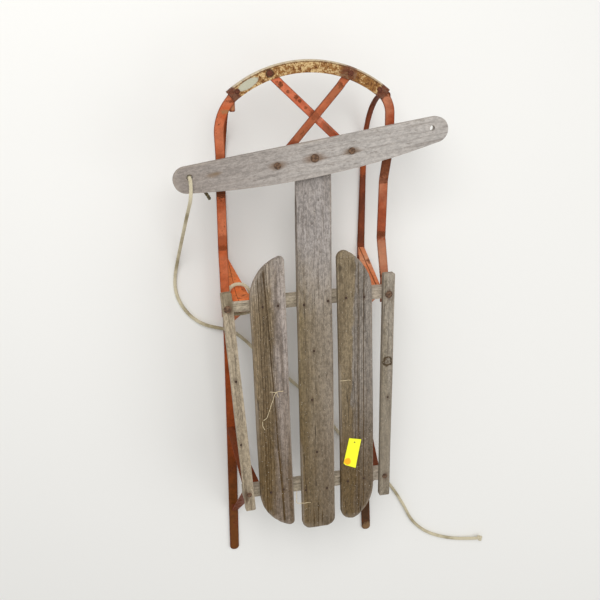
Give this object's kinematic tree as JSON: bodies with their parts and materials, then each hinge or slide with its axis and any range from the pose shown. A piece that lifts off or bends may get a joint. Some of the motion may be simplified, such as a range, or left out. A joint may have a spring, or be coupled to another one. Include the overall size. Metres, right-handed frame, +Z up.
{
  "type": "steerable runner sled",
  "caption": "Weathered wooden sled with slatted deck on curled steel runners, front bumper, crossed straps, a turning steering bar and a tow rope.",
  "frame": {"origin": "on the floor, under the middle of the sled's length and of its centre plank", "axes": "+Y forward to the bumper, +X to the rider's right, +Z up"},
  "size_m": [0.6916, 1.1389, 0.186],
  "materials": {
    "deck_wood": "bare and weathered",
    "beam_wood": "bare and weathered",
    "bar_wood": "bare, weathered to grey",
    "red_steel": "worn orange red paint with rust",
    "bumper_steel": "faded tan paint with rust",
    "rusty_steel": "rusted",
    "rope_fibre": "braided"
  },
  "bodies": {
    "sled": {"centre_plank": "deck_wood", "side_slat_left": "deck_wood", "side_slat_right": "deck_wood", "side_rail_left": "deck_wood", "side_rail_right": "deck_wood", "front_beam": "beam_wood", "rear_beam": "beam_wood", "runner_left": "red_steel", "runner_right": "red_steel", "front_bar_left": "red_steel", "front_bar_right": "red_steel", "knee_front_left": "red_steel", "knee_front_right": "red_steel", "knee_rear_left": "red_steel", "knee_rear_right": "red_steel", "bumper": "bumper_steel", "pivot_washer": "rusty_steel", "pivot_bolt": "rusty_steel", "rail_bolts": "rusty_steel", "corner_rivets": "rusty_steel", "strap_rivets": "rusty_steel", "knee_rope": "rope_fibre", "rope": "rope_fibre", "rope_end_knot": "rope_fibre"},
    "steering": {"steering_bar": "bar_wood", "steering_bolt_left": "rusty_steel", "steering_bolt_right": "rusty_steel", "rope_knot": "rope_fibre"},
    "left_strap": {"strap_left": "red_steel"},
    "right_strap": {"strap_right": "red_steel"}
  },
  "joints": [
    {"name": "steering_turn", "type": "hinge", "parent": "sled", "child": "steering", "pos_m": [0.001, 0.3597, 0.165], "axis": [0, 0, 1], "range_deg": [-20, 4], "deforming": ["rope"]},
    {"name": "left_strap_turn", "type": "hinge", "parent": "sled", "child": "left_strap", "pos_m": [-0.07165, 0.50555, 0.1522], "axis": [0, 0, 1], "range_deg": [-5, 1]},
    {"name": "right_strap_turn", "type": "hinge", "parent": "sled", "child": "right_strap", "pos_m": [0.0711, 0.50081, 0.1522], "axis": [0, 0, 1], "range_deg": [-5, 1]}
  ],
  "couplings": [
    {"joint": "left_strap_turn", "follows": "steering_turn", "ratio": 0.2313},
    {"joint": "right_strap_turn", "follows": "steering_turn", "ratio": 0.241}
  ]
}
